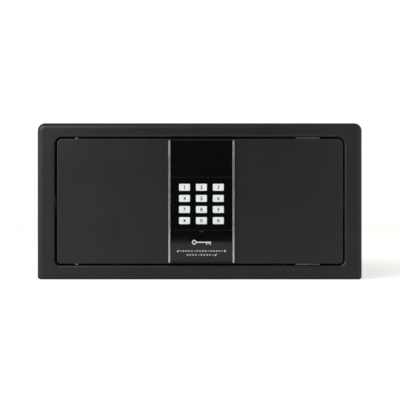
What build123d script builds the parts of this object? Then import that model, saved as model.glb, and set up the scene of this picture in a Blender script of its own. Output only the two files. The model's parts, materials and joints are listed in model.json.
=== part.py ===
"""In-room safe for a hotel wardrobe: steel cabinet, flush door with keypad, motor-driven bolts.

Units are millimetres. X runs to the right, Y to the rear and Z up. The origin is under the middle
of the safe, on the surface that it stands on. Each sub-part is written to parts/NAME.step.
"""

import os
from math import cos, degrees, pi, radians, sin, sqrt, tan

from build123d import *

# Driving dimensions: cabinet
WIDTH = 405.0
HEIGHT = 195.0
DEPTH = 380.0
FASCIA_PROUD = 4.0                     # how far the trim strips stand in front of the door
FRAME_SHEET = 2.5
BODY_SHEET = 2.0
FRAME_RETURN = 25.0                    # depth of the pressed frame, front to back
TOP_CORNER = 9.5
BOTTOM_CORNER = 3.4
ROLLED_EDGE = 7.0
OPENING = (-180.0, 180.0, 18.0, 177.0)  # left, right, bottom, top
OPENING_TOP_CORNER = 8.5
OPENING_BOTTOM_CORNER = 6.0
LIP_DEPTH = 15.0
LIP_BEND = 3.0

# Driving dimensions: door
DOOR = (-177.8, 178.7, 19.5, 175.5)
DOOR_THICK = 5.0
DOOR_TOP_CORNER = 7.0
DOOR_BOTTOM_CORNER = 4.5
DOOR_EDGE_ROUND = 1.5
HINGE_INSET = 24.0                     # from the door's left edge to the pivot
HINGE_BEHIND_FACE = 10.0
PIN_RADIUS = 3.0
RUNNING_FIT = 0.05                     # radial clearance of a turning or sliding fit
GAP = 0.3                              # clearance between pieces that move past each other

# Driving dimensions: fascia and keys
FASCIA_X = 2.2
FASCIA_BOTTOM = 20.3
FASCIA_TOP = 174.7
FASCIA_STEP = 3.2                      # front of the fascia panels in front of the door
FASCIA_HALF = 38.6
PANEL_THICK = 2.0
STRIP_WIDTH = 2.2
STRIP_SPACING = 79.75
SEAM_UPPER = 126.85
SEAM_LOWER = 61.15
KEY_SIZE = (13.6, 8.6)
KEY_PITCH = (21.0, 13.8)
KEY_BLOCK_Z = 94.05
KEY_PROUD = 0.6
KEY_TRAVEL = 0.6

# Driving dimensions: bolt work
BOLT_RADIUS = 8.0
BOLT_TRAVEL = 18.0
BOLT_HEIGHTS = (60.0, 135.0)
BOLT_BEHIND_FACE = 25.5
BOLT_ROOT_X = 118.0
BOLT_TIP_X = 176.0
CARRIAGE_SHEET = 3.0
MODULE = 1.0
PINION_TEETH = 12
PRESSURE_ANGLE = 20.0
PINION_X = 84.0
PINION_Z = 97.5
OVERRIDE_Z = 44.0

# Places that follow from them
FRONT_Y = -DEPTH / 2
FACE_Y = FRONT_Y + FASCIA_PROUD
REAR_Y = DEPTH / 2
DOOR_REAR_Y = FACE_Y + DOOR_THICK
HINGE_X = DOOR[0] + HINGE_INSET
HINGE_Y = FACE_Y + HINGE_BEHIND_FACE
PANEL_Y = FACE_Y - FASCIA_STEP
SLAB_Y = PANEL_Y + PANEL_THICK
BOLT_Y = FACE_Y + BOLT_BEHIND_FACE
CARRIAGE_Y = DOOR_REAR_Y + 2.5
CARRIAGE_REAR_Y = CARRIAGE_Y + CARRIAGE_SHEET
COVER_Y = -146.0                       # inner face of the closed door
KEY_X = [FASCIA_X + KEY_PITCH[0] * step for step in (-1, 0, 1)]
KEY_Z = [KEY_BLOCK_Z + KEY_PITCH[1] * step for step in (1.5, 0.5, -0.5, -1.5)]
KEY_NAMES = [("1", "2", "3"), ("4", "5", "6"), ("7", "8", "9"), ("star", "0", "hash")]


# Drawing helpers

def upright(y):
    """Drawing plane at depth y: first axis to the right, second axis up, facing the user."""
    return Plane.XZ.offset(-y)


def slab(sketch, y_front, y_rear):
    """Extrude an upright drawing from y_rear forward to y_front."""
    return extrude(upright(y_rear) * sketch, amount=y_rear - y_front)


def rectangle(left, right, bottom, top):
    return Pos((left + right) / 2, (bottom + top) / 2) * Rectangle(right - left, top - bottom)


def outline(box, top_corner, bottom_corner, inset=0.0):
    """Rectangle with its own radii at the top and bottom corners, moved inwards by inset."""
    left, right, bottom, top = box
    shape = rectangle(left + inset, right - inset, bottom + inset, top - inset)
    if top_corner > inset:
        shape = fillet(shape.vertices().group_by(Axis.Y)[-1], top_corner - inset)
    if bottom_corner > inset:
        shape = fillet(shape.vertices().group_by(Axis.Y)[0], bottom_corner - inset)
    return shape


def disc(x, z, radius):
    return Pos(x, z) * Circle(radius)


def rod_y(x, z, radius, y_front, y_rear):
    return slab(disc(x, z, radius), y_front, y_rear)


def rod_x(y, z, radius, x_left, x_right):
    return extrude(Plane.YZ.offset(x_left) * disc(y, z, radius), amount=x_right - x_left)


def rod_z(x, y, radius, z_bottom, z_top):
    return extrude(Plane.XY.offset(z_bottom) * disc(x, y, radius), amount=z_top - z_bottom)


def block(x0, x1, y0, y1, z0, z1):
    return slab(rectangle(x0, x1, z0, z1), y0, y1)


def group(solids):
    """Separate like pieces kept in one node."""
    return Compound(children=list(solids))


def front_edges(solid):
    return solid.edges().group_by(Axis.Y)[0]


def rear_edges(solid):
    return solid.edges().group_by(Axis.Y)[-1]


# Cabinet

CABINET = (-WIDTH / 2, WIDTH / 2, 0.0, HEIGHT)


def rolled_tray(inset, y_rear):
    """Solid of the pressed frame: large roll round the sides and top, a tight one below."""
    front = FACE_Y + inset
    solid = slab(outline(CABINET, TOP_CORNER, 0.0, inset), front, y_rear)
    rim = front_edges(solid)
    lowest = rim.sort_by(Axis.Z)[0]
    solid = fillet([edge for edge in rim if edge != lowest], ROLLED_EDGE - inset)
    foot = solid.edges().group_by(Axis.Z)[0].filter_by(lambda edge: edge.center().Y < y_rear - 1)
    return fillet(foot, BOTTOM_CORNER - inset)


def front_frame():
    rear = FACE_Y + FRAME_RETURN
    tray = rolled_tray(0.0, rear) - rolled_tray(FRAME_SHEET, rear)
    lip = slab(outline(OPENING, OPENING_TOP_CORNER, OPENING_BOTTOM_CORNER, -FRAME_SHEET),
               FACE_Y + FRAME_SHEET / 2, FACE_Y + LIP_DEPTH)
    hole = slab(outline(OPENING, OPENING_TOP_CORNER, OPENING_BOTTOM_CORNER),
                FACE_Y - 1, FACE_Y + LIP_DEPTH + 1)
    frame = tray + lip - hole
    left, right, bottom, top = OPENING
    bend = [edge for edge in front_edges(frame)
            if left - 1 < edge.center().X < right + 1 and bottom - 1 < edge.center().Z < top + 1]
    frame = fillet(bend, LIP_BEND)
    for z in (top - 1, bottom - FRAME_SHEET - 1):
        frame -= rod_z(HINGE_X, HINGE_Y, PIN_RADIUS, z, z + FRAME_SHEET + 2)
    return frame


def cabinet_ring(outer_inset, inner_inset, y_front, y_rear):
    ring = outline(CABINET, TOP_CORNER, BOTTOM_CORNER, outer_inset)
    ring -= outline(CABINET, TOP_CORNER, BOTTOM_CORNER, inner_inset)
    return slab(ring, y_front, y_rear)


ANCHOR_RADIUS = 5.25
ANCHORS = [(x, y) for x in (-130.0, 130.0) for y in (-60.0, 100.0)]
REAR_ANCHORS = (-130.0, 130.0)


def body_shell():
    """Wrapped sheet with a joggled tongue that laps inside the frame's return."""
    joint = FACE_Y + FRAME_RETURN
    tongue = FRAME_SHEET + BODY_SHEET
    shell = cabinet_ring(0.0, BODY_SHEET, joint, REAR_Y - BODY_SHEET)
    shell += cabinet_ring(FRAME_SHEET, tongue, joint - 8, joint + BODY_SHEET)
    shell += cabinet_ring(0.0, tongue, joint, joint + BODY_SHEET)
    for x, y in ANCHORS:
        shell -= rod_z(x, y, ANCHOR_RADIUS, -1, BODY_SHEET + 1)
    return shell


def rear_panel():
    """Pressed pan: a flat back with a flange that laps inside the body."""
    inside = REAR_Y - BODY_SHEET
    pan = slab(outline(CABINET, TOP_CORNER, BOTTOM_CORNER), inside, REAR_Y)
    pan = chamfer(rear_edges(pan), 1.0)
    pan += cabinet_ring(BODY_SHEET, 2 * BODY_SHEET, inside - 12, inside)
    swage = outline((-90.0, 90.0, 45.0, 150.0), 12.0, 12.0)
    swage -= outline((-90.0, 90.0, 45.0, 150.0), 12.0, 12.0, 6.0)
    pan -= slab(swage, REAR_Y - 0.8, REAR_Y + 1)
    for x in REAR_ANCHORS:
        pan -= rod_y(x, HEIGHT / 2, ANCHOR_RADIUS, inside - 1, REAR_Y + 1)
    return pan


def strike_plate():
    """Z-section behind the right lip, with the two square holes that the bolts enter."""
    x = OPENING[1] + FRAME_SHEET
    wall = WIDTH / 2 - BODY_SHEET
    rear = -145.0
    plate = block(x, x + 3, FACE_Y + FRAME_SHEET, rear, 24, 171)
    plate += block(x, wall, rear - 3, rear, 24, 171)
    plate = fillet(plate.edges().filter_by(Axis.Z).filter_by(
        lambda edge: abs(edge.center().X - x) < 0.1 and abs(edge.center().Y - rear) < 0.1), 3.5)
    half = BOLT_RADIUS + 2.0
    for z in BOLT_HEIGHTS:
        plate -= block(x - 1, x + 4, BOLT_Y - half, BOLT_Y + half, z - half, z + half)
    return plate


STOP_X = (120.0, 150.0)


def stop_tab(z_lip, away):
    """Angle on a lip, with its upright leg just behind the door. away is +1 up, -1 down."""
    z_far = z_lip - away * 6
    y = DOOR_REAR_Y + 1.2
    low, high = sorted((z_lip, z_lip - away * 1.5))
    tab = block(*STOP_X, y, y + 8, low, high)
    low, high = sorted((z_lip, z_far))
    return tab + block(*STOP_X, y, y + 1.5, low, high)


def door_stops():
    return group([stop_tab(OPENING[3], 1), stop_tab(OPENING[2], -1)])


def stop_buffers():
    """Rubber pads between the stop angles and the door."""
    y = DOOR_REAR_Y + 1.2
    pads = []
    for z in (OPENING[3] - 3.8, OPENING[2] + 3.8):
        pad = slab(Pos(sum(STOP_X) / 2, z) * RectangleRounded(24, 3.6, 1.2), y - 0.9, y)
        pads.append(pad)
    return group(pads)


def hinge_pin(z_lip, away):
    """Headed pin through a lip. away is +1 for the upper pin and -1 for the lower one."""
    z_end = z_lip - away * 14
    z_head = z_lip + away * FRAME_SHEET
    low, high = sorted((z_end, z_head))
    pin = rod_z(HINGE_X, HINGE_Y, PIN_RADIUS, low, high)
    pin = chamfer(pin.edges().sort_by(Axis.Z)[0 if away > 0 else -1], 0.6)
    low, high = sorted((z_head, z_head + away * 2.2))
    head = rod_z(HINGE_X, HINGE_Y, 5.2, low, high)
    head = chamfer(head.edges().sort_by(Axis.Z)[-1 if away > 0 else 0], 0.8)
    return pin + head


MAT = (-196.0, 196.0, -148.0, 172.0)
MAT_THICK = 3.0


def floor_mat():
    left, right, front, rear = MAT
    sheet = Pos(0, (front + rear) / 2) * RectangleRounded(right - left, rear - front, 12)
    for x, y in ANCHORS:
        sheet -= Pos(x, y) * Circle(11)
    return extrude(Plane.XY.offset(BODY_SHEET) * sheet, amount=MAT_THICK)


# Door and its hinge

TONGUE_X = (FASCIA_X - 24.0, FASCIA_X + 24.0)
TONGUE_Z = (29.0, 49.0)
TONGUE = (8.0, 1.6)
SCREW_X = (FASCIA_X - 34.8, FASCIA_X + 34.8)
SCREW_Z = (40.0, 155.0)
CASE = (FASCIA_X - 31.5, FASCIA_X + 31.5, 63.0, 160.0)
CASE_WALL = 1.6
CASE_REAR_Y = FACE_Y + 14
CYLINDER_RADIUS = 9.5


def tongue_slots():
    slots = Sketch()
    for x in TONGUE_X:
        for z in TONGUE_Z:
            slots += Pos(x, z) * Rectangle(TONGUE[0] + 1.0, TONGUE[1] + 1.6)
    return slots


def door_plate():
    plate = slab(outline(DOOR, DOOR_TOP_CORNER, DOOR_BOTTOM_CORNER), FACE_Y, DOOR_REAR_Y)
    plate = fillet(front_edges(plate), DOOR_EDGE_ROUND)
    cuts = outline(CASE, 3.0, 3.0, -0.4) + disc(FASCIA_X, OVERRIDE_Z, CYLINDER_RADIUS + 0.1)
    cuts += tongue_slots()
    for x in SCREW_X:
        for z in SCREW_Z:
            cuts += disc(x, z, 2.8)
    return plate - slab(cuts, FACE_Y - 1, DOOR_REAR_Y + 1)


BUSH_RADIUS = 4.8
BLOCK_HEIGHT = 16.0


def hinge_block(z_outer, away):
    """Steel block welded behind the door, bored for the bush. away is +1 up, -1 down."""
    low, high = sorted((z_outer, z_outer - away * BLOCK_HEIGHT))
    solid = block(HINGE_X - 12, HINGE_X + 12, DOOR_REAR_Y, HINGE_Y + 6, low, high)
    corners = solid.edges().filter_by(Axis.Z).group_by(Axis.Y)[-1]
    solid = fillet(corners, 5.0)
    return solid - rod_z(HINGE_X, HINGE_Y, BUSH_RADIUS, low - 1, high + 1)


UPPER_BLOCK_Z = DOOR[3] - 1.0
LOWER_BLOCK_Z = DOOR[2] + 1.0


def hinge_bush(z_outer, away):
    """Flanged bush that turns on its pin."""
    low, high = sorted((z_outer, z_outer - away * BLOCK_HEIGHT))
    bush = rod_z(HINGE_X, HINGE_Y, BUSH_RADIUS, low, high)
    flange_low, flange_high = sorted((z_outer, z_outer + away * 1.0))
    bush += rod_z(HINGE_X, HINGE_Y, BUSH_RADIUS + 0.2, flange_low, flange_high)
    return bush - rod_z(HINGE_X, HINGE_Y, PIN_RADIUS + RUNNING_FIT, low - 2, high + 2)


def hinge_bushes():
    return group([hinge_bush(UPPER_BLOCK_Z, 1), hinge_bush(LOWER_BLOCK_Z, -1)])


# Fascia

BOARD = (FASCIA_X - 29.0, FASCIA_X + 29.0, 65.5, 157.5)
BOARD_Y = FACE_Y + 3.4
BOARD_THICK = 1.6
BOARD_SCREWS = [(FASCIA_X + dx, z) for dx in (-25.9, 25.9) for z in (131.0, 154.5)]
DISPLAY = (FASCIA_X - 22.0, FASCIA_X + 22.0, 138.0, 150.5)
SLAB_ENDS = (FASCIA_BOTTOM + 3.3, FASCIA_TOP - 3.3)


def fascia_housing():
    """Moulded carrier: a thin mask on the door and a case through it for the electronics."""
    left, right = FASCIA_X - FASCIA_HALF + 0.3, FASCIA_X + FASCIA_HALF - 0.3
    mask = outline((left, right, *SLAB_ENDS), 1.0, 1.0)
    mask -= outline((CASE[0], CASE[1], CASE[2], 124.5), 1.4, 1.4, CASE_WALL)
    mask -= outline(DISPLAY, 1.0, 1.0, -0.3)
    mask -= disc(FASCIA_X, OVERRIDE_Z, CYLINDER_RADIUS + 2.4)
    mask -= tongue_slots()
    housing = slab(mask, SLAB_Y, FACE_Y)
    wall = outline(CASE, 3.0, 3.0) - outline(CASE, 3.0, 3.0, CASE_WALL)
    housing += slab(wall, FACE_Y - 0.1, CASE_REAR_Y)
    for x, z in BOARD_SCREWS:
        housing += rod_y(x, z, 2.4, FACE_Y - 0.1, BOARD_Y) - rod_y(x, z, 1.2, FACE_Y + 0.8, BOARD_Y)
    for x in SCREW_X:
        for z in SCREW_Z:
            housing += rod_y(x, z, 2.5, FACE_Y - 0.1, DOOR_REAR_Y - 0.2)
            housing -= rod_y(x, z, 1.2, FACE_Y + 0.8, DOOR_REAR_Y)
    return housing


def wrap_profile(z_seam, z_end):
    """Side view of a panel that rolls back onto the door at its free end z_end."""
    away = 1 if z_end > z_seam else -1
    z_bend = z_end - away * FASCIA_STEP
    inner = FASCIA_STEP - PANEL_THICK
    turn = sin(radians(45))

    def on_arc(radius):
        return (FACE_Y - radius * turn, z_bend + away * radius * turn)

    front = Line((PANEL_Y, z_seam), (PANEL_Y, z_bend))
    roll = ThreePointArc((PANEL_Y, z_bend), on_arc(FASCIA_STEP), (FACE_Y, z_end))
    foot = Line((FACE_Y, z_end), (FACE_Y, z_bend + away * inner))
    inner_roll = ThreePointArc((FACE_Y, z_bend + away * inner), on_arc(inner), (SLAB_Y, z_bend))
    back = Line((SLAB_Y, z_bend), (SLAB_Y, z_seam))
    seam = Line((SLAB_Y, z_seam), (PANEL_Y, z_seam))
    return make_face(front + roll + foot + inner_roll + back + seam)


def wrapped_panel(z_seam, z_end):
    left = FASCIA_X - FASCIA_HALF + 0.2
    return extrude(Plane.YZ.offset(left) * wrap_profile(z_seam, z_end), amount=2 * FASCIA_HALF - 0.4)


def display_window():
    panel = wrapped_panel(SEAM_UPPER + GAP / 2, FASCIA_TOP)
    seam_edge = front_edges(panel).sort_by(Axis.Z)[0]
    return fillet(seam_edge, 0.4)


def keypad_plate():
    half = FASCIA_HALF - 0.2
    plate = slab(rectangle(FASCIA_X - half, FASCIA_X + half, SEAM_LOWER + GAP / 2, SEAM_UPPER - GAP / 2),
                 PANEL_Y, SLAB_Y)
    plate = fillet(front_edges(plate).filter_by(Axis.X), 0.4)
    holes = Sketch()
    for x in KEY_X:
        for z in KEY_Z:
            holes += Pos(x, z) * RectangleRounded(KEY_SIZE[0] + 2 * GAP, KEY_SIZE[1] + 2 * GAP, 1.2)
    return plate - slab(holes, PANEL_Y - 1, SLAB_Y + 1)


PLUNGER_REACH = 1.4                    # from the front of a key's flange to its plunger's end


def key(x, z):
    """Key cap with its retaining flange and the plunger that works the rubber dome."""
    y_flange = SLAB_Y + GAP
    cap = slab(Pos(x, z) * RectangleRounded(*KEY_SIZE, 1.0), PANEL_Y - KEY_PROUD, y_flange)
    cap = chamfer(front_edges(cap), 0.35)
    flange = Pos(x, z) * RectangleRounded(KEY_SIZE[0] + 1.6, KEY_SIZE[1] + 1.6, 1.2)
    cap += slab(flange, y_flange, y_flange + 0.8)
    return cap + rod_y(x, z, 1.5, y_flange + 0.8, y_flange + PLUNGER_REACH)


def keypad_mat():
    """Silicone sheet with one dome behind each key."""
    y_sheet = BOARD_Y - 1.0
    y_dome = SLAB_Y + GAP + PLUNGER_REACH + KEY_TRAVEL + GAP
    mat = slab(rectangle(BOARD[0], BOARD[1], BOARD[2], 122.5), y_sheet, BOARD_Y)
    for x in KEY_X:
        for z in KEY_Z:
            mat += chamfer(front_edges(rod_y(x, z, 3.6, y_dome, y_sheet)), 0.7)
    return mat


def trim_strip(side):
    """Satin metal strip beside the fascia, with both ends rolled onto the door."""
    centre = FASCIA_X - 0.025 + side * STRIP_SPACING / 2
    strip = block(centre - STRIP_WIDTH / 2, centre + STRIP_WIDTH / 2, FRONT_Y, FACE_Y, 20.5, 173.6)
    strip = fillet(front_edges(strip).filter_by(Axis.X), 2.4)
    crown = [edge for edge in front_edges(strip) if edge.length > 100]
    return chamfer(crown, 0.35)


def fascia_screws():
    screws = []
    for x in SCREW_X:
        for z in SCREW_Z:
            screw = rod_y(x, z, 1.2, FACE_Y + 0.8, DOOR_REAR_Y)
            head = chamfer(rear_edges(rod_y(x, z, 3.0, DOOR_REAR_Y, DOOR_REAR_Y + 1.8)), 0.6)
            screws.append(screw + head)
    return group(screws)


# Electronics

CONNECTOR_X = (FASCIA_X - 18.0, FASCIA_X + 18.0)
CONNECTOR_Z = 73.0
CONNECTOR_Y = BOARD_Y + BOARD_THICK + 5.5


def main_board():
    """Circuit board with its connector, relay, capacitor and controller behind it."""
    rear = BOARD_Y + BOARD_THICK
    board = slab(outline(BOARD, 1.5, 1.5), BOARD_Y, rear)
    for x, z in BOARD_SCREWS:
        board -= rod_y(x, z, 1.4, BOARD_Y - 1, rear + 1)
    board += block(FASCIA_X - 7, FASCIA_X + 7, rear, rear + 1.4, 92, 106)
    board += block(FASCIA_X + 6, FASCIA_X + 21, rear, rear + 6.0, 138, 150)
    for x in CONNECTOR_X:
        board += block(x - 8, x + 8, rear, CONNECTOR_Y, CONNECTOR_Z - 3, CONNECTOR_Z + 3)
    board += rod_y(FASCIA_X - 18, 118, 4.0, rear, rear + 7.0)
    return board


LEAD_RADIUS = 1.3


def lead(route, bends):
    """Sheathed pair of wires along a route of straight runs and tangent bends."""
    path = FilletPolyline(*route, radius=bends)
    start = Plane(origin=path @ 0, z_dir=path % 0)
    return sweep(start * Circle(LEAD_RADIUS), path=path)


def battery_lead():
    """From the battery tray's side over the case wall to the left connector."""
    x_end = CONNECTOR_X[0]
    over = CASE_REAR_Y + 3.5
    route = [(TRAY[1], -163.0, 75.0), (-47.0, -163.0, 75.0), (-34.0, over, CONNECTOR_Z + 0.5),
             (x_end, over, CONNECTOR_Z), (x_end, CONNECTOR_Y, CONNECTOR_Z)]
    return lead(route, [10.0, 10.0, 4.0])


def motor_lead():
    """From the motor behind the carriage and over the case wall to the right connector."""
    x_end = CONNECTOR_X[1]
    over = CASE_REAR_Y + 3.5
    route = [(PINION_X - MOTOR_FLAT, MOTOR_Y, 65.0), (64.0, MOTOR_Y, 65.0), (44.0, MOTOR_Y - 3.0, 71.0),
             (x_end, over, CONNECTOR_Z), (x_end, CONNECTOR_Y, CONNECTOR_Z)]
    return lead(route, [10.0, 10.0, 4.0])


def display_module():
    left, right, bottom, top = DISPLAY
    module = block(left, right, FACE_Y - 0.6, BOARD_Y, bottom, top)
    glass = rectangle(left + 4, right - 4, bottom + 3, top - 3)
    return module - slab(glass, FACE_Y - 1, FACE_Y - 0.3)


def board_screws():
    screws = []
    rear = BOARD_Y + BOARD_THICK
    for x, z in BOARD_SCREWS:
        head = chamfer(rear_edges(rod_y(x, z, 2.4, rear, rear + 1.4)), 0.5)
        screws.append(rod_y(x, z, 1.2, FACE_Y + 0.8, rear) + head)
    return group(screws)


# Bolt work

RACK_ADDENDUM = 0.65
RACK_PITCH_Z = PINION_Z + MODULE * PINION_TEETH / 2
BACKLASH = 0.12                        # taken off each flank
CARRIAGE = (40.0, 118.0, 50.0, 145.0)
STUD_X = (66.0, 108.0)
STUD_Z = (70.0, 127.0)
STUD_RADIUS = 3.0
ARM_Z = (54.0, 60.0)
TAB_X = (-10.0, -7.0)
CAM_Y = FACE_Y + 15.5
CAM_THICK = 2.5


def rack_spaces():
    """Window for the pinion, with rack teeth along its upper edge, drawn upright."""
    root_z = RACK_PITCH_Z + 1.25 * MODULE
    tip_z = RACK_PITCH_Z - RACK_ADDENDUM
    left, right = PINION_X - BOLT_TRAVEL - 9, PINION_X + 9
    window = rectangle(left, right, PINION_Z - 9, tip_z)
    pitch = pi * MODULE
    lean = tan(radians(PRESSURE_ANGLE))
    half = pitch / 4 + BACKLASH
    wide = half + RACK_ADDENDUM * lean
    narrow = half - (root_z - RACK_PITCH_Z) * lean
    space = Polygon((-wide, tip_z - 0.01), (wide, tip_z - 0.01), (narrow, root_z), (-narrow, root_z),
                    align=None)
    first = int((left - PINION_X) / pitch) + 1
    last = int((right - PINION_X) / pitch)
    for number in range(first, last):
        window += Pos(PINION_X + number * pitch, 0) * space
    return window


def bolt_carriage():
    """Sliding plate with its rack, slots, override arm and the bent flange that holds the bolts."""
    left, right, bottom, top = CARRIAGE
    plate = outline(CARRIAGE, 4.0, 0.0)
    plate += rectangle(TAB_X[0], left + 1, *ARM_Z)
    plate -= rack_spaces()
    for x in STUD_X:
        for z in STUD_Z:
            slot = SlotOverall(BOLT_TRAVEL + 2 * STUD_RADIUS + 0.6, 2 * (STUD_RADIUS + 0.1))
            plate -= Pos(x - BOLT_TRAVEL / 2, z) * slot
    plate -= outline((96.0, 110.0, 82.0, 115.0), 3.0, 3.0)
    carriage = slab(plate, CARRIAGE_Y, CARRIAGE_REAR_Y)
    flange = block(right - CARRIAGE_SHEET, right, CARRIAGE_Y, BOLT_Y + 10, bottom, top)
    carriage += flange
    bend = carriage.edges().filter_by(Axis.Z).filter_by(
        lambda edge: abs(edge.center().X - right) < 0.1 and abs(edge.center().Y - CARRIAGE_Y) < 0.1)
    carriage = fillet(bend, CARRIAGE_SHEET - 0.2)
    carriage += block(*TAB_X, CARRIAGE_Y, CAM_Y + CAM_THICK, *ARM_Z)
    for z in BOLT_HEIGHTS:
        carriage -= rod_x(BOLT_Y, z, BOLT_RADIUS / 2, right - CARRIAGE_SHEET - 1, right + 1)
    return carriage


def locking_bolt(z):
    """Round bolt riveted to the carriage, with a bevelled nose."""
    bolt = rod_x(BOLT_Y, z, BOLT_RADIUS, BOLT_ROOT_X, BOLT_TIP_X)
    bolt = chamfer(bolt.edges().sort_by(Axis.X)[-1], 2.5)
    return bolt + rod_x(BOLT_Y, z, BOLT_RADIUS / 2, BOLT_ROOT_X - CARRIAGE_SHEET, BOLT_ROOT_X)


def involute(base_radius, roll):
    """Point of the involute after unrolling by roll radians, from the direction of +X."""
    return (base_radius * (cos(roll) + roll * sin(roll)), base_radius * (sin(roll) - roll * cos(roll)))


def pinion_outline():
    pitch_radius = MODULE * PINION_TEETH / 2
    base = pitch_radius * cos(radians(PRESSURE_ANGLE))
    tip = pitch_radius + MODULE
    root = pitch_radius - 0.95 * MODULE
    to_pitch = tan(radians(PRESSURE_ANGLE)) - radians(PRESSURE_ANGLE)
    half = pi / (2 * PINION_TEETH) - BACKLASH / pitch_radius + to_pitch
    last_roll = sqrt((tip / base) ** 2 - 1)
    flank = [involute(base, last_roll * step / 4) for step in range(5)]
    gear = Circle(root)
    for number in range(PINION_TEETH):
        turn = 90 + number * 360 / PINION_TEETH
        right_side = [Vector(*point, 0).rotate(Axis.Z, turn - degrees(half)) for point in flank]
        left_side = [Vector(x, -y, 0).rotate(Axis.Z, turn + degrees(half)) for x, y in flank]
        inner_right = Vector(root - 0.3, 0, 0).rotate(Axis.Z, turn - degrees(half))
        inner_left = Vector(root - 0.3, 0, 0).rotate(Axis.Z, turn + degrees(half))
        points = [inner_right, *right_side, *reversed(left_side), inner_left]
        gear += make_face(Polyline(*points, close=True))
    return gear


def pinion():
    """Twelve-tooth pinion with its hub on the gearbox shaft."""
    front, rear = CARRIAGE_Y - 0.8, CARRIAGE_REAR_Y + 0.6
    gear = slab(Pos(PINION_X, PINION_Z) * pinion_outline(), front, rear)
    return gear + rod_y(PINION_X, PINION_Z, 3.5, rear, GEARBOX_Y - 0.3)


GEARBOX_Y = CARRIAGE_REAR_Y + 4.0
GEARBOX = (PINION_X - 12.0, PINION_X + 12.0, 80.0, 112.0)


def gearbox():
    """Right-angle gearbox with moulded seams and corner bosses."""
    rear = GEARBOX_Y + 17
    case = slab(outline(GEARBOX, 3.0, 3.0), GEARBOX_Y, rear)
    case = chamfer(rear_edges(case), 1.5)
    seam = outline(GEARBOX, 3.0, 3.0, -1.0) - outline(GEARBOX, 3.0, 3.0, 0.5)
    case -= slab(seam, GEARBOX_Y + 8, GEARBOX_Y + 8.8)
    for x in (GEARBOX[0] + 3.5, GEARBOX[1] - 3.5):
        for z in (GEARBOX[2] + 3.5, GEARBOX[3] - 3.5):
            case -= rod_y(x, z, 1.7, rear - 2, rear + 1)
    return case


MOTOR_Y = GEARBOX_Y + 8.5
MOTOR_RADIUS = 7.75
MOTOR_FLAT = 6.75


def motor_can():
    """Small drive motor with flats, standing under the gearbox."""
    top = GEARBOX[2]
    can = rod_z(PINION_X, MOTOR_Y, MOTOR_RADIUS, top - 26, top)
    for side in (-1, 1):
        x = PINION_X + side * (MOTOR_FLAT + 5)
        can -= block(x - 5, x + 5, MOTOR_Y - 10, MOTOR_Y + 10, top - 27, top + 1)
    can = chamfer(can.edges().group_by(Axis.Z)[0], 0.8)
    return can + rod_z(PINION_X, MOTOR_Y, 3.0, top - 28, top - 26)


def motor_bracket():
    """Bridge over the carriage that carries the gearbox and turns the pinion's reaction into the door."""
    low, high = CARRIAGE[2] - 6, CARRIAGE[3] + 6
    y = GEARBOX_Y - 1.5
    bridge = block(PINION_X - 10, PINION_X + 10, y, GEARBOX_Y, low, high)
    for z in (low, high - 1.5):
        bridge += block(PINION_X - 10, PINION_X + 10, DOOR_REAR_Y, GEARBOX_Y, z, z + 1.5)
    for z0, z1 in ((low - 9, low + 1.5), (high - 1.5, high + 9)):
        bridge += block(PINION_X - 10, PINION_X + 10, DOOR_REAR_Y, DOOR_REAR_Y + 1.5, z0, z1)
    return bridge - rod_y(PINION_X, PINION_Z, 4.5, y - 1, GEARBOX_Y + 1)


def bolt_guide():
    """Angle that guides both bolts near the door's free edge."""
    foot = block(141, 161, DOOR_REAR_Y, DOOR_REAR_Y + 2.5, 42, 153)
    wall = block(158, 161, DOOR_REAR_Y, BOLT_Y + 12.0, 42, 153)
    guide = foot + wall
    for z in BOLT_HEIGHTS:
        guide -= rod_x(BOLT_Y, z, BOLT_RADIUS + RUNNING_FIT, 157, 162)
    ends = guide.edges().filter_by(Axis.X).group_by(Axis.Y)[-1]
    return fillet(ends, 6.0)


def guide_studs():
    """Shouldered studs on the door that the carriage slides along."""
    studs = []
    for x in STUD_X:
        for z in STUD_Z:
            stud = rod_y(x, z, STUD_RADIUS, DOOR_REAR_Y, CARRIAGE_REAR_Y + GAP)
            head = rod_y(x, z, 4.6, CARRIAGE_REAR_Y + GAP, CARRIAGE_REAR_Y + GAP + 1.4)
            head = chamfer(rear_edges(head), 0.5)
            studs.append(stud + head)
    return group(studs)


# Emergency key lock behind the lower cover

PLUG_RADIUS = 6.5
CYLINDER_Y = SLAB_Y + GAP


def override_cylinder():
    barrel = rod_y(FASCIA_X, OVERRIDE_Z, CYLINDER_RADIUS, FACE_Y, CAM_Y - 0.5)
    head = rod_y(FASCIA_X, OVERRIDE_Z, CYLINDER_RADIUS + 2, CYLINDER_Y, FACE_Y)
    head = chamfer(front_edges(head), 0.5)
    return barrel + head - rod_y(FASCIA_X, OVERRIDE_Z, PLUG_RADIUS + RUNNING_FIT, CYLINDER_Y - 1, CAM_Y)


def cylinder_nut():
    hexagon = Pos(FASCIA_X, OVERRIDE_Z) * RegularPolygon(11.0, 6, major_radius=False)
    return slab(hexagon - disc(FASCIA_X, OVERRIDE_Z, CYLINDER_RADIUS), DOOR_REAR_Y, DOOR_REAR_Y + 2.1)


def override_plug():
    plug = rod_y(FASCIA_X, OVERRIDE_Z, PLUG_RADIUS, CYLINDER_Y, CAM_Y)
    plug += rod_y(FASCIA_X, OVERRIDE_Z, 3.5, CAM_Y, CAM_Y + CAM_THICK + 3)
    keyway = rectangle(FASCIA_X - 1.1, FASCIA_X + 1.1, OVERRIDE_Z - 4.2, OVERRIDE_Z + 4.2)
    return plug - slab(keyway, CYLINDER_Y - 1, CYLINDER_Y + 9)


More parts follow.
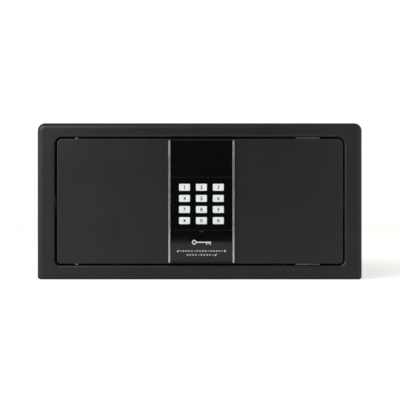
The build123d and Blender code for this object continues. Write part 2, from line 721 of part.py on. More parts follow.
def override_cam():
    """Flat cam on the rear of the plug. Turned up, it pushes the carriage's tab to the left."""
    hub = disc(FASCIA_X, OVERRIDE_Z, 7.0)
    tip = Pos(FASCIA_X + 14.0, OVERRIDE_Z) * Circle(4.0)
    arm = make_hull(hub.edges() + tip.edges())
    cam = slab(arm - disc(FASCIA_X, OVERRIDE_Z, 3.5), CAM_Y, CAM_Y + CAM_THICK)
    nut = Pos(FASCIA_X, OVERRIDE_Z) * RegularPolygon(5.5, 6, major_radius=False)
    return cam + slab(nut - disc(FASCIA_X, OVERRIDE_Z, 3.5), CAM_Y + CAM_THICK, CAM_Y + CAM_THICK + 2.4)


COVER_LEDGE = 3.4


def override_cover():
    """Clip-off cover: rolled foot, ledge with a pull notch, and four snap tongues behind."""
    top = SEAM_LOWER - GAP / 2
    cover = wrapped_panel(top, FASCIA_BOTTOM)
    cover -= block(FASCIA_X - 50, FASCIA_X + 50, PANEL_Y - 1, PANEL_Y + 0.4, top - COVER_LEDGE, top + 1)
    cover -= block(FASCIA_X - 3, FASCIA_X + 3, PANEL_Y - 1, SLAB_Y + 1, top - 2.0, top + 1)
    for x in TONGUE_X:
        for z in TONGUE_Z:
            left, right = x - TONGUE[0] / 2, x + TONGUE[0] / 2
            low, high = z - TONGUE[1] / 2, z + TONGUE[1] / 2
            cover += block(left, right, SLAB_Y - 0.5, DOOR_REAR_Y - 0.6, low, high)
            cover += block(left, right, FACE_Y + 2.6, FACE_Y + 3.6, low, high + 0.3)
    return cover


# Inside of the door

COVER_BOX = (-132.0, 166.0, 31.0, 164.5)
COVER_FLANGE = (-140.5, 174.0, 25.0, 170.0)
COVER_SHEET = 1.5
BATTERY_LID = (-128.0, -60.0, 58.0, 128.0)
COVER_SCREWS = [(x, z) for x in (-110.0, -30.0, 60.0, 152.0) for z in (27.9, 167.4)]


def inner_cover():
    """Pressed cover over the lock work: deep box, flange, swaged panel and battery opening."""
    box = slab(outline(COVER_BOX, 6.0, 6.0), DOOR_REAR_Y, COVER_Y)
    box = fillet(rear_edges(box), 3.0)
    hollow = slab(outline(COVER_BOX, 6.0, 6.0, COVER_SHEET), DOOR_REAR_Y, COVER_Y - COVER_SHEET)
    hollow = chamfer(rear_edges(hollow), 1.2)
    cover = box + slab(outline(COVER_FLANGE, 5.0, 5.0), DOOR_REAR_Y, DOOR_REAR_Y + COVER_SHEET)
    cover -= hollow
    swage = outline((-36.0, 146.0, 56.0, 139.0), 10.0, 10.0)
    cover -= slab(swage, COVER_Y - 0.7, COVER_Y + 1)
    cuts = outline(BATTERY_LID, 3.0, 3.0, -GAP)
    cover -= slab(cuts, COVER_Y - 5, COVER_Y + 1)
    for z in BOLT_HEIGHTS:
        cover -= rod_x(BOLT_Y, z, BOLT_RADIUS + 0.6, COVER_BOX[1] - 3, COVER_BOX[1] + 1)
    for x, z in COVER_SCREWS:
        cover -= rod_y(x, z, 1.7, DOOR_REAR_Y - 1, DOOR_REAR_Y + 3)
    return cover


def cover_screws():
    screws = []
    y = DOOR_REAR_Y + COVER_SHEET
    for x, z in COVER_SCREWS:
        head = chamfer(rear_edges(rod_y(x, z, 2.5, y, y + 1.6)), 0.6)
        screws.append(rod_y(x, z, 1.5, DOOR_REAR_Y, y) + head)
    return group(screws)


CELL_RADIUS = 7.15
CELL_LENGTH = 50.0
CELL_PITCH = 15.4
CELL_X = -94.0
CELL_Z = [93.0 + CELL_PITCH * step for step in (-1.5, -0.5, 0.5, 1.5)]
TRAY = (-124.0, -64.0, 60.5, 125.5)
TRAY_FLOOR_Y = COVER_Y - 22.0
CELL_Y = TRAY_FLOOR_Y + 2.0 + CELL_RADIUS + 0.2


def battery_box():
    """Open tray with cradle ribs for four cells lying side by side."""
    rear = COVER_Y - COVER_SHEET - 0.3
    tray = slab(outline(TRAY, 2.0, 2.0), TRAY_FLOOR_Y, rear)
    tray -= slab(outline(TRAY, 2.0, 2.0, 1.8), TRAY_FLOOR_Y + 1.8, rear + 1)
    left, right, bottom, top = TRAY
    for z0, z1 in zip(CELL_Z, CELL_Z[1:]):
        rib = (z0 + z1) / 2
        tray += block(left + 1, right - 1, TRAY_FLOOR_Y + 1, TRAY_FLOOR_Y + 5, rib - 0.6, rib + 0.6)
    boss_rear = TRAY_FLOOR_Y + 6
    for z in (bottom - 4, top + 4):
        tray += rod_y(CELL_X, z, 4.0, DOOR_REAR_Y, boss_rear)
    for low, high in ((bottom - 4, bottom + 1), (top - 1, top + 4)):
        tray += block(CELL_X - 4, CELL_X + 4, TRAY_FLOOR_Y, boss_rear, low, high)
    return tray


def battery(z, direction):
    """One cell with its pip, which points along +X or -X."""
    cell = rod_x(CELL_Y, z, CELL_RADIUS, CELL_X - CELL_LENGTH / 2, CELL_X + CELL_LENGTH / 2)
    cell = chamfer(cell.edges().filter_by(GeomType.CIRCLE), 0.5)
    tip = CELL_X + direction * CELL_LENGTH / 2
    low, high = sorted((tip, tip + direction * 1.2))
    return cell + rod_x(CELL_Y, z, 2.7, low, high)


def batteries():
    return group([battery(z, 1 if number % 2 else -1) for number, z in enumerate(CELL_Z)])


def battery_contacts():
    """Spring plates at both ends of the cells."""
    contacts = []
    for side in (-1, 1):
        x = CELL_X + side * 27.8
        low, high = sorted((x, x + side * 0.4))
        for z in CELL_Z:
            contacts.append(block(low, high, CELL_Y - 5, CELL_Y + 5, z - 5, z + 5))
    return group(contacts)


def battery_cover():
    """Clip-off lid, flush with the inner cover, with grip ribs and two latches."""
    lid = slab(outline(BATTERY_LID, 3.0, 3.0), COVER_Y - COVER_SHEET, COVER_Y)
    for z in (66.0, 69.0, 72.0):
        lid += slab(Pos(CELL_X, z) * SlotOverall(26, 1.4), COVER_Y - 0.1, COVER_Y + 0.7)
    for z in (BATTERY_LID[2] + 0.7, BATTERY_LID[3] - 0.7):
        for x in (CELL_X - 20, CELL_X + 20):
            lid += block(x - 4, x + 4, COVER_Y - 6, COVER_Y - 1, z - 0.6, z + 0.6)
    return lid


# Writing the parts

def write(name, solid):
    export_step(solid, os.path.join("parts", name + ".step"))


def main():
    os.makedirs("parts", exist_ok=True)
    write("front_frame", front_frame())
    write("body_shell", body_shell())
    write("rear_panel", rear_panel())
    write("strike_plate", strike_plate())
    write("door_stops", door_stops())
    write("stop_buffers", stop_buffers())
    write("hinge_pin_upper", hinge_pin(OPENING[3], 1))
    write("hinge_pin_lower", hinge_pin(OPENING[2], -1))
    write("floor_mat", floor_mat())
    write("door_plate", door_plate())
    write("hinge_block_upper", hinge_block(UPPER_BLOCK_Z, 1))
    write("hinge_block_lower", hinge_block(LOWER_BLOCK_Z, -1))
    write("hinge_bushes", hinge_bushes())
    write("fascia_housing", fascia_housing())
    write("display_window", display_window())
    write("keypad_plate", keypad_plate())
    write("keypad_mat", keypad_mat())
    write("trim_strip_left", trim_strip(-1))
    write("trim_strip_right", trim_strip(1))
    write("fascia_screws", fascia_screws())
    write("main_board", main_board())
    write("display_module", display_module())
    write("board_screws", board_screws())
    write("battery_lead", battery_lead())
    write("motor_lead", motor_lead())
    write("bolt_carriage", bolt_carriage())
    write("locking_bolt_lower", locking_bolt(BOLT_HEIGHTS[0]))
    write("locking_bolt_upper", locking_bolt(BOLT_HEIGHTS[1]))
    write("pinion", pinion())
    write("gearbox", gearbox())
    write("motor_can", motor_can())
    write("motor_bracket", motor_bracket())
    write("bolt_guide", bolt_guide())
    write("guide_studs", guide_studs())
    write("override_cylinder", override_cylinder())
    write("cylinder_nut", cylinder_nut())
    write("override_plug", override_plug())
    write("override_cam", override_cam())
    write("override_cover", override_cover())
    write("inner_cover", inner_cover())
    write("cover_screws", cover_screws())
    write("battery_box", battery_box())
    write("batteries", batteries())
    write("battery_contacts", battery_contacts())
    write("battery_cover", battery_cover())
    for z, row in zip(KEY_Z, KEY_NAMES):
        for x, name in zip(KEY_X, row):
            write("key_" + name, key(x, z))


main()
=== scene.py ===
"""Looks of an in-room hotel safe: powder-coated steel, gloss black fascia, white keys, felt mat."""

import json
import math

import bmesh
import bpy
import mathutils.noise
from mathutils import Matrix, Vector


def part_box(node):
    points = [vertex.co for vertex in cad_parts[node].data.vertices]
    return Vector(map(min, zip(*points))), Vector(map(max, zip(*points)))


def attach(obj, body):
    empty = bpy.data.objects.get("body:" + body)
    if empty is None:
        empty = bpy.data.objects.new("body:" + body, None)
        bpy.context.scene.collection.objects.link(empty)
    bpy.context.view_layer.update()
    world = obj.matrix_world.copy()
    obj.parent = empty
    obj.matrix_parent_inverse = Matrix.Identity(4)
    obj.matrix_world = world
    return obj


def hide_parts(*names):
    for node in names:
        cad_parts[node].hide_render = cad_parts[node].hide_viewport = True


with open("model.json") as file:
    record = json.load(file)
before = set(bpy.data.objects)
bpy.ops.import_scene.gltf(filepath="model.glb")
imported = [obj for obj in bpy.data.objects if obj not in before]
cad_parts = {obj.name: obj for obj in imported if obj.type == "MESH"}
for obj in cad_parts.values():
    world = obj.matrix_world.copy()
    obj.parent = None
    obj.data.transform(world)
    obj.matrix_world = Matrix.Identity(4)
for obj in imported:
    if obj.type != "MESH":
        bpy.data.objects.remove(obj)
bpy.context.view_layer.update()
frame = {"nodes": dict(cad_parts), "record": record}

MM = 0.001
TRACK_PITCH = 5.0                      # mm between the board's tracks
MERGE_MM = 0.002                       # points of a turned solid closer than this are one
KEY_NAMES = ("1", "2", "3", "4", "5", "6", "7", "8", "9", "star", "0", "hash")


# Colour, nodes and materials

# Sockets of a colour mix node, picked by number since its other kinds share their names
MIX_FACTOR, MIX_A, MIX_B, MIX_RESULT = 0, 6, 7, 2


def linear(colour):
    """Linear RGBA of an sRGB hex colour."""
    parts = [int(colour[start:start + 2], 16) / 255 for start in (1, 3, 5)]
    return [p / 12.92 if p <= 0.04045 else ((p + 0.055) / 1.055) ** 2.4 for p in parts] + [1.0]


def add(tree, kind, inputs=(), **settings):
    """Add a node, give it its settings, and set or link its inputs."""
    node = tree.nodes.new(kind)
    for name, value in settings.items():
        setattr(node, name, value)
    for name, value in dict(inputs).items():
        if isinstance(value, bpy.types.NodeSocket):
            tree.links.new(value, node.inputs[name])
        else:
            node.inputs[name].default_value = value
    return node


def finish_of(name, colour, roughness, metallic=0.0, **sockets):
    """New material with its uniform values on the shader's own sockets."""
    material = bpy.data.materials.new(name)
    material.use_nodes = True
    tree = material.node_tree
    shader = tree.nodes["Principled BSDF"]
    shader.inputs["Base Color"].default_value = linear(colour)
    shader.inputs["Roughness"].default_value = roughness
    shader.inputs["Metallic"].default_value = metallic
    for socket, value in sockets.items():
        shader.inputs[socket.replace("_", " ")].default_value = value
    return material, tree, shader


def noise(tree, size_mm, detail=2.0, stretch=(1.0, 1.0, 1.0)):
    """Noise whose features are about size_mm across, longer where stretch is above 1."""
    where = add(tree, "ShaderNodeTexCoord").outputs["Object"]
    scale = [1 / part for part in stretch]
    mapped = add(tree, "ShaderNodeMapping", {"Vector": where, "Scale": scale}).outputs["Vector"]
    inputs = {"Vector": mapped, "Scale": 1 / (size_mm * MM), "Detail": detail}
    return add(tree, "ShaderNodeTexNoise", inputs).outputs["Fac"]


def ranged(tree, value, low, high):
    """Noise value, which lies mostly from 0.3 to 0.7, spread from low to high."""
    inputs = {"Value": value, "From Min": 0.3, "From Max": 0.7, "To Min": low, "To Max": high}
    return add(tree, "ShaderNodeMapRange", inputs).outputs["Result"]


def blended(tree, factor, colour_a, colour_b):
    """Colour between two sRGB hex colours."""
    mix = add(tree, "ShaderNodeMix", data_type="RGBA")
    tree.links.new(factor, mix.inputs[MIX_FACTOR])
    mix.inputs[MIX_A].default_value = linear(colour_a)
    mix.inputs[MIX_B].default_value = linear(colour_b)
    return mix.outputs[MIX_RESULT]


def bump(tree, shader, height, depth_mm, strength=1.0, under=None):
    """Raise the surface by a height, over another bump where one is given."""
    inputs = {"Height": height, "Distance": depth_mm * MM, "Strength": strength}
    if under is not None:
        inputs["Normal"] = under
    normal = add(tree, "ShaderNodeBump", inputs).outputs["Normal"]
    tree.links.new(normal, shader.inputs["Normal"])
    return normal


def powder_coat():
    """Polyester powder coat on steel, sprayed and baked: charcoal, semi-matt, with a fine
    leathery grain. The grain is drawn about 1 mm wide, twice the real size, so that it shows."""
    material, tree, shader = finish_of("powder_coat_charcoal", "#1c1e1f", 0.4, IOR=1.5)
    grain = noise(tree, 1.1, 3.0)
    cloud = noise(tree, 38.0, 3.0)
    shade = blended(tree, ranged(tree, cloud, 0.0, 1.0), "#191b1c", "#1e2022")
    speckle = ranged(tree, grain, 0.72, 1.25)
    tinted = add(tree, "ShaderNodeVectorMath", {0: shade}, operation="SCALE")
    tree.links.new(speckle, tinted.inputs["Scale"])
    tree.links.new(tinted.outputs["Vector"], shader.inputs["Base Color"])
    tree.links.new(ranged(tree, grain, 0.25, 0.36), shader.inputs["Roughness"])
    orange_peel = bump(tree, shader, noise(tree, 4.5, 1.0), 0.05, 0.5)
    bump(tree, shader, grain, 0.09, 0.7, orange_peel)
    return material


def gloss_moulding(name, colour):
    """High-gloss ABS from a polished mould: nearly black, sharp reflections, faint hand haze."""
    material, tree, shader = finish_of(name, colour, 0.06, IOR=1.5)
    haze = noise(tree, 22.0, 4.0)
    tree.links.new(ranged(tree, haze, 0.03, 0.055), shader.inputs["Roughness"])
    bump(tree, shader, noise(tree, 26.0, 0.0), 0.03, 0.25)
    return material


def smoked_acrylic():
    """Smoked PMMA window, injection moulded and polished: a deep black with a sharp surface."""
    material, tree, shader = finish_of("smoked_acrylic", "#0c0e0e", 0.03, IOR=1.49)
    tree.links.new(ranged(tree, noise(tree, 30.0, 3.0), 0.02, 0.05), shader.inputs["Roughness"])
    return material


def satin_trim():
    """Anodised aluminium strip, brushed along its length: pale satin grey. The brush lines
    spread the light to both sides and keep it sharp along the strip."""
    material, tree, shader = finish_of("satin_anodised_trim", "#e4e6e7", 0.16, 1.0)
    streaks = noise(tree, 0.35, 2.0, (1.0, 1.0, 60.0))
    tree.links.new(ranged(tree, streaks, 0.12, 0.22), shader.inputs["Roughness"])
    colour = blended(tree, ranged(tree, streaks, 0.0, 1.0), "#dadcdd", "#f0f2f2")
    tree.links.new(colour, shader.inputs["Base Color"])
    bump(tree, shader, streaks, 0.12, 1.0)
    return material


def keycap_white():
    """White ABS keycap, lightly spark-eroded mould: bright, satin, slightly cool."""
    material, tree, shader = finish_of("keycap_white_abs", "#f2fafa", 0.38, IOR=1.5)
    grain = noise(tree, 0.45, 2.0)
    tree.links.new(ranged(tree, grain, 0.32, 0.46), shader.inputs["Roughness"])
    colour = blended(tree, ranged(tree, noise(tree, 3.0, 2.0), 0.0, 1.0), "#eef7f7", "#f6fcfc")
    tree.links.new(colour, shader.inputs["Base Color"])
    bump(tree, shader, grain, 0.012, 0.4)
    return material


def print_ink(name, colour):
    """Pad-printed ink: thin, matt, slightly uneven."""
    material, tree, shader = finish_of(name, colour, 0.6)
    tree.links.new(ranged(tree, noise(tree, 0.6, 2.0), 0.5, 0.7), shader.inputs["Roughness"])
    return material


def zinc_plate():
    """Bright zinc on pressed steel: cool grey with a cloudy spangle and fine rolling marks."""
    material, tree, shader = finish_of("zinc_plated_steel", "#a9adb0", 0.35, 1.0)
    cloud = noise(tree, 7.0, 4.0)
    marks = noise(tree, 0.5, 2.0, (24.0, 1.0, 1.0))
    colour = blended(tree, ranged(tree, cloud, 0.0, 1.0), "#979ca0", "#b8bcbe")
    tree.links.new(colour, shader.inputs["Base Color"])
    tree.links.new(ranged(tree, marks, 0.28, 0.46), shader.inputs["Roughness"])
    bump(tree, shader, marks, 0.01, 0.35)
    return material


def turned_steel(name, colour, low, high):
    """Turned or drawn steel: fine rings or drawing lines under a thin oil film."""
    material, tree, shader = finish_of(name, colour, (low + high) / 2, 1.0)
    lines = noise(tree, 0.3, 1.0, (1.0, 1.0, 9.0))
    tree.links.new(ranged(tree, lines, low, high), shader.inputs["Roughness"])
    bump(tree, shader, lines, 0.006, 0.3)
    return material


def chrome_bolt():
    """Hard chrome on a ground bar: mirror bright with faint grinding and wipe marks."""
    material, tree, shader = finish_of("hard_chrome", "#d3d6d8", 0.12, 1.0)
    wipe = noise(tree, 9.0, 4.0)
    tree.links.new(ranged(tree, wipe, 0.07, 0.18), shader.inputs["Roughness"])
    bump(tree, shader, noise(tree, 0.4, 1.0, (1.0, 6.0, 6.0)), 0.003, 0.3)
    return material


def sintered_bronze():
    """Oil-filled sintered bronze: warm, dull, with open pores."""
    material, tree, shader = finish_of("sintered_bronze", "#a9793f", 0.45, 1.0)
    pores = noise(tree, 0.25, 3.0)
    colour = blended(tree, ranged(tree, pores, 0.0, 1.0), "#8a5f2c", "#b98a4d")
    tree.links.new(colour, shader.inputs["Base Color"])
    bump(tree, shader, pores, 0.02, 0.5)
    return material


def moulded_abs():
    """Black ABS with a fine spark-eroded texture: matt, soft highlights."""
    material, tree, shader = finish_of("black_abs_textured", "#17181a", 0.5, IOR=1.52)
    grain = noise(tree, 0.5, 2.0)
    tree.links.new(ranged(tree, grain, 0.42, 0.58), shader.inputs["Roughness"])
    bump(tree, shader, grain, 0.02, 0.6)
    return material


def rubber(name, colour):
    """Moulded rubber: dull, with a slight bloom."""
    material, tree, shader = finish_of(name, colour, 0.7, IOR=1.51)
    bloom = noise(tree, 5.0, 3.0)
    tree.links.new(ranged(tree, bloom, 0.62, 0.8), shader.inputs["Roughness"])
    bump(tree, shader, noise(tree, 0.5, 2.0), 0.02, 0.5)
    return material


def solder_mask():
    """Green solder mask on glass-epoxy board, with tracks showing through as a darker net."""
    material, tree, shader = finish_of("solder_mask_green", "#0f4a2b", 0.3, IOR=1.5)
    where = add(tree, "ShaderNodeTexCoord").outputs["Object"]
    tracks = add(tree, "ShaderNodeTexVoronoi", {"Vector": where, "Scale": 1 / (TRACK_PITCH * MM)},
                 distance="MANHATTAN", feature="F2")
    colour = blended(tree, tracks.outputs["Distance"], "#0b3d22", "#17633a")
    tree.links.new(colour, shader.inputs["Base Color"])
    return material


def needle_felt():
    """Needle-punched polyester felt: charcoal with paler stray fibres and a soft nap."""
    material, tree, shader = finish_of("needle_felt_charcoal", "#2a2c30", 0.95,
                                       Sheen_Weight=0.35, Sheen_Roughness=0.5)
    fibres = noise(tree, 0.8, 4.0, (5.0, 1.0, 1.0))
    cross = noise(tree, 0.8, 4.0, (1.0, 5.0, 1.0))
    both = add(tree, "ShaderNodeMath", {0: fibres, 1: cross}, operation="MULTIPLY").outputs["Value"]
    spread = {"Value": both, "From Min": 0.12, "From Max": 0.4}
    weight = add(tree, "ShaderNodeMapRange", spread).outputs["Result"]
    tree.links.new(blended(tree, weight, "#1d1f22", "#43464b"), shader.inputs["Base Color"])
    bump(tree, shader, both, 0.5, 0.9)
    return material


def cell_jacket(name, colour, metallic):
    """Printed shrink film on a dry cell: glossy, with fine ripples from the shrinking."""
    material, tree, shader = finish_of(name, colour, 0.28, metallic)
    haze = noise(tree, 4.0, 2.0)
    tree.links.new(ranged(tree, haze, 0.2, 0.36), shader.inputs["Roughness"])
    bump(tree, shader, noise(tree, 2.5, 1.0, (6.0, 1.0, 1.0)), 0.02, 0.4)
    return material


FINISHES = {
    "powder_coated_steel": powder_coat(),
    "zinc_plated_steel": zinc_plate(),
    "bright_steel": turned_steel("turned_steel", "#b9bbbd", 0.2, 0.36),
    "bolt_chrome": chrome_bolt(),
    "bronze_bush": sintered_bronze(),
    "nickel_brass": turned_steel("nickel_plated_brass", "#bdb7a8", 0.16, 0.3),
    "satin_trim": satin_trim(),
    "gloss_black": gloss_moulding("gloss_black_abs", "#0b0c0c"),
    "smoked_window": smoked_acrylic(),
    "black_abs": moulded_abs(),
    "white_key": keycap_white(),
    "silicone": rubber("silicone_grey", "#8a8c8e"),
    "black_rubber": rubber("rubber_black", "#161616"),
    "wire_sheath": rubber("pvc_sheath_red", "#8a1f1b"),
    "circuit_board": solder_mask(),
    "display_glass": gloss_moulding("display_glass", "#0c0e10"),
    "felt": needle_felt(),
    "battery_jacket": cell_jacket("cell_film_black", "#15181d", 0.0),
    "black_screws": turned_steel("black_zinc", "#26282a", 0.35, 0.5),
}
CELL_BAND = cell_jacket("cell_film_copper", "#b5713f", 0.9)
KEY_INK = print_ink("key_print_grey", "#2e3335")
COVER_INK = print_ink("cover_print_pale", "#d4d7d8")

SLOT_OF = {part["node"]: part["material_slot"] for part in frame["record"]["subparts"]}
for node, thing in frame["nodes"].items():
    thing.data.materials.clear()
    thing.data.materials.append(FINISHES[SLOT_OF[node]])


# New pieces

X_AXIS, Y_AXIS = Vector((1.0, 0.0, 0.0)), Vector((0.0, 1.0, 0.0))


def placed(name, data):
    """New object for a mesh, curve, light or camera."""
    thing = bpy.data.objects.new(name, data)
    bpy.context.scene.collection.objects.link(thing)
    return thing


def mesh_of(work, name):
    """Mesh of a bmesh, which is used up."""
    mesh = bpy.data.meshes.new(name)
    work.to_mesh(mesh)
    work.free()
    return mesh


def evaluated(thing):
    """Mesh of an object with its modifiers applied, or of a curve with its thickness."""
    bpy.context.view_layer.update()
    graph = bpy.context.evaluated_depsgraph_get()
    return bpy.data.meshes.new_from_object(thing.evaluated_get(graph))


def settle(mesh, name, material, body):
    """Put a mesh in the scene as a named piece that rides on a body."""
    mesh.name = name
    mesh.materials.clear()
    mesh.materials.append(material)
    piece = placed(name, mesh)
    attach(piece, body)
    return piece


def carved(solid, cutter, name):
    """Mesh left of a solid when the cutter is taken away."""
    kept, taken = [placed(name, mesh_of(work, name)) for work in (solid, cutter)]
    cut = kept.modifiers.new("cut", "BOOLEAN")
    cut.object = taken
    cut.solver = "EXACT"
    cut.use_self = True
    left = evaluated(kept)
    for part in (kept, taken):
        bpy.data.objects.remove(part)
    return left


def turned(profile, steps, axis, across):
    """Solid of revolution in mm: a profile of (place along the axis, radius) spun about it."""
    work = bmesh.new()
    verts = [work.verts.new(place * axis + radius * across) for place, radius in profile]
    edges = [work.edges.new(pair) for pair in zip(verts, verts[1:])]
    bmesh.ops.spin(work, geom=verts + edges, axis=axis, cent=(0, 0, 0), steps=steps,
                   angle=math.radians(360), use_merge=True)
    bmesh.ops.remove_doubles(work, verts=work.verts, dist=MERGE_MM)
    bmesh.ops.recalc_face_normals(work, faces=work.faces)
    return work


def solids_of(node):
    """Lowest and highest corners of each separate solid in a CAD node."""
    work = bmesh.new()
    work.from_mesh(frame["nodes"][node].data)
    bmesh.ops.remove_doubles(work, verts=work.verts, dist=0.001 * MM)
    waiting = set(work.verts)
    boxes = []
    while waiting:
        reached = [waiting.pop()]
        found = []
        while reached:
            vert = reached.pop()
            found.append(vert.co.copy())
            for edge in vert.link_edges:
                other = edge.other_vert(vert)
                if other in waiting:
                    waiting.remove(other)
                    reached.append(other)
        boxes.append([Vector([pick(spot[axis] for spot in found) for axis in range(3)])
                      for pick in (min, max)])
    work.free()
    return boxes


def joined(meshes, name):
    """One mesh of several, which are used up."""
    work = bmesh.new()
    for mesh in meshes:
        work.from_mesh(mesh)
        bpy.data.meshes.remove(mesh)
    return mesh_of(work, name)


def smooth_by_angle(mesh, degrees):
    """Smooth shading, with the edges that turn by more than an angle kept sharp."""
    for polygon in mesh.polygons:
        polygon.use_smooth = True
    mesh.set_sharp_from_angle(angle=math.radians(degrees))


# Printed signs on the keys

INK = 0.06 * MM                        # print thickness, half of it sunk into the surface
DIGIT_HEIGHT = 4.5 * MM
DIGIT_BOLD = 0.022                     # added to each side of a stroke, in a font of size 1
# Bars of the signs that are drawn: width, height, x and y in mm, and turn in degrees
SIGN_BARS = {
    "star": [(3.3, 0.85, 0.0, 0.0, turn) for turn in (30, 90, 150)],
    "hash": [(3.5, 0.6, -0.62, 0.0, 76), (3.6, 0.6, 0.0, -0.66, 0),
             (3.5, 0.6, 0.62, 0.0, 76), (3.6, 0.6, 0.0, 0.66, 0)],
}


def stand(mesh, x, y, z):
    """Stand a drawing made on the XY plane upright, facing the user, at a place."""
    mesh.transform(Matrix.Translation((x, y, z)) @ Matrix.Rotation(math.radians(90), 4, "X"))


def lettering(sign, name):
    """Mesh of a printed digit, DIGIT_HEIGHT tall and centred on the origin."""
    curve = bpy.data.curves.new(name, "FONT")
    curve.body = sign
    curve.offset = DIGIT_BOLD
    curve.extrude = INK / 2
    holder = placed(name, curve)
    mesh = evaluated(holder)
    bpy.data.objects.remove(holder)
    tall = [vertex.co.y for vertex in mesh.vertices]
    wide = [vertex.co.x for vertex in mesh.vertices]
    size = DIGIT_HEIGHT / (max(tall) - min(tall))
    middle = Vector(((max(wide) + min(wide)) / 2, (max(tall) + min(tall)) / 2, 0.0))
    mesh.transform(Matrix.Translation(-middle))
    mesh.transform(Matrix.Diagonal((size, size, 1.0, 1.0)))
    return mesh


def flat_bar(work, width, height, x, y, turn=0.0):
    """Add a flat bar centred on x and y."""
    made = bmesh.ops.create_grid(work, x_segments=1, y_segments=1, size=0.5)["verts"]
    bmesh.ops.scale(work, verts=made, vec=(width, height, 1.0))
    bmesh.ops.rotate(work, verts=made, matrix=Matrix.Rotation(math.radians(turn), 3, "Z"))
    bmesh.ops.translate(work, verts=made, vec=(x, y, 0.0))


def inked(work, name):
    """Mesh of a drawing in millimetres once it has the print's thickness."""
    bmesh.ops.solidify(work, geom=work.faces[:], thickness=INK / MM)
    bmesh.ops.translate(work, verts=work.verts, vec=(0.0, 0.0, INK / MM / 2))
    bmesh.ops.recalc_face_normals(work, faces=work.faces)
    mesh = mesh_of(work, name)
    mesh.transform(Matrix.Scale(MM, 4))
    return mesh


def barred_sign(bars, name):
    work = bmesh.new()
    for bar in bars:
        flat_bar(work, *bar)
    return inked(work, name)


def print_keys():
    for key in KEY_NAMES:
        name = "print_" + key
        drawn = key in SIGN_BARS
        mesh = barred_sign(SIGN_BARS[key], name) if drawn else lettering(key, name)
        low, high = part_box("key_" + key)
        stand(mesh, (low.x + high.x) / 2, low.y, (low.z + high.z) / 2)
        settle(mesh, name, KEY_INK, "button_" + key)


print_keys()


# Pictograms on the lower cover, drawn flat in millimetres

ARC_STEPS = 20
LINE = 0.4                             # width of the thin lines
SQUARE_REACH = 0.75                    # from a code square's middle to the middle of its lines
ARROW_SHAFT, ARROW_SHAFT_X = 1.3, -0.4
ARROW_HEAD, ARROW_HEAD_X = 0.8, 0.6
LOCK_BODY = (2.2, 1.5)
LOCK_BODY_Y = -0.5
SHACKLE_INNER, SHACKLE_OUTER = 0.5, 0.85
SHACKLE_Y = 0.7                        # where the shackle's legs turn into its arch
LEG_FOOT = -0.2                        # inside the lock's body
FREE_LEG_FOOT = 0.35                   # clear of it
SWINGS = {"c": 0.0, "o": 1.35}         # how far a closed and an open shackle stand to the side
SIGN_PITCH = 3.45
BOW = (1.5, 3.0, -9.0, 0.0, 360)
SHAFT = (18.2, 1.5, 2.9, 0.0)
BITS = ((6.4, 2.2), (8.6, 1.5), (11.1, 2.4))
BIT_WIDTH = 1.2


def flat_ring(work, inner, outer, x, y, turn):
    """Add a ring, or an arch from the right over the top to the left."""
    before = set(work.verts)
    ends = [work.verts.new((radius, 0.0, 0.0)) for radius in (inner, outer)]
    edge = work.edges.new(ends)
    bmesh.ops.spin(work, geom=[*ends, edge], axis=(0, 0, 1), cent=(0, 0, 0), steps=ARC_STEPS,
                   angle=math.radians(turn), use_merge=turn == 360)
    made = [vert for vert in work.verts if vert not in before]
    bmesh.ops.translate(work, verts=made, vec=(x, y, 0.0))


def code_square(work, x):
    """One key of the code that is typed in."""
    side_length = 2 * SQUARE_REACH + LINE
    for side in (-1, 1):
        flat_bar(work, LINE, side_length, x + side * SQUARE_REACH, 0.0)
        flat_bar(work, side_length - 2 * LINE, LINE, x, side * SQUARE_REACH)


def arrow(work, x):
    flat_bar(work, ARROW_SHAFT, LINE, x + ARROW_SHAFT_X, 0.0)
    head = bmesh.ops.create_circle(work, cap_ends=True, segments=3, radius=ARROW_HEAD)["verts"]
    bmesh.ops.rotate(work, verts=head, matrix=Matrix.Rotation(math.radians(-90), 3, "Z"))
    bmesh.ops.translate(work, verts=head, vec=(x + ARROW_HEAD_X, 0.0, 0.0))


def padlock(work, x, swing):
    """Padlock. swing moves its shackle sideways, off one side of an open lock."""
    flat_bar(work, *LOCK_BODY, x, LOCK_BODY_Y)
    flat_ring(work, SHACKLE_INNER, SHACKLE_OUTER, x + swing, SHACKLE_Y, 180)
    for side in (-1, 1):
        foot = LEG_FOOT if swing == 0 or side < 0 else FREE_LEG_FOOT
        leg_x = x + swing + side * (SHACKLE_INNER + SHACKLE_OUTER) / 2
        middle = (SHACKLE_Y + foot) / 2
        flat_bar(work, SHACKLE_OUTER - SHACKLE_INNER, SHACKLE_Y - foot, leg_x, middle)


def instruction(signs):
    """Row of small signs: s a key of the code, > an arrow, c and o a closed and open padlock."""
    work = bmesh.new()
    for number, sign in enumerate(signs):
        x = (number - (len(signs) - 1) / 2) * SIGN_PITCH
        if sign == "s":
            code_square(work, x)
        elif sign == ">":
            arrow(work, x)
        else:
            padlock(work, x, SWINGS[sign])
    return work


def key_emblem():
    """Key lying on its side: bow, shaft and bit."""
    work = bmesh.new()
    flat_ring(work, *BOW)
    flat_bar(work, *SHAFT)
    for x, drop in BITS:
        flat_bar(work, BIT_WIDTH, drop, x, -(SHAFT[1] + drop) / 2)
    return work


def print_on_cover(work, name, height):
    """Print a drawing on the cover at a height in millimetres above its foot."""
    mesh = inked(work, name)
    low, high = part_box("override_cover")
    stand(mesh, (low.x + high.x) / 2, low.y, low.z + height * MM)
    settle(mesh, name, COVER_INK, "front_cover")


print_on_cover(key_emblem(), "print_key_emblem", 26.2)
print_on_cover(instruction("o>ssss>ssss>ssss>c"), "print_to_close", 15.4)
print_on_cover(instruction("ssss>ssss>o"), "print_to_open", 10.6)


# Felt mat

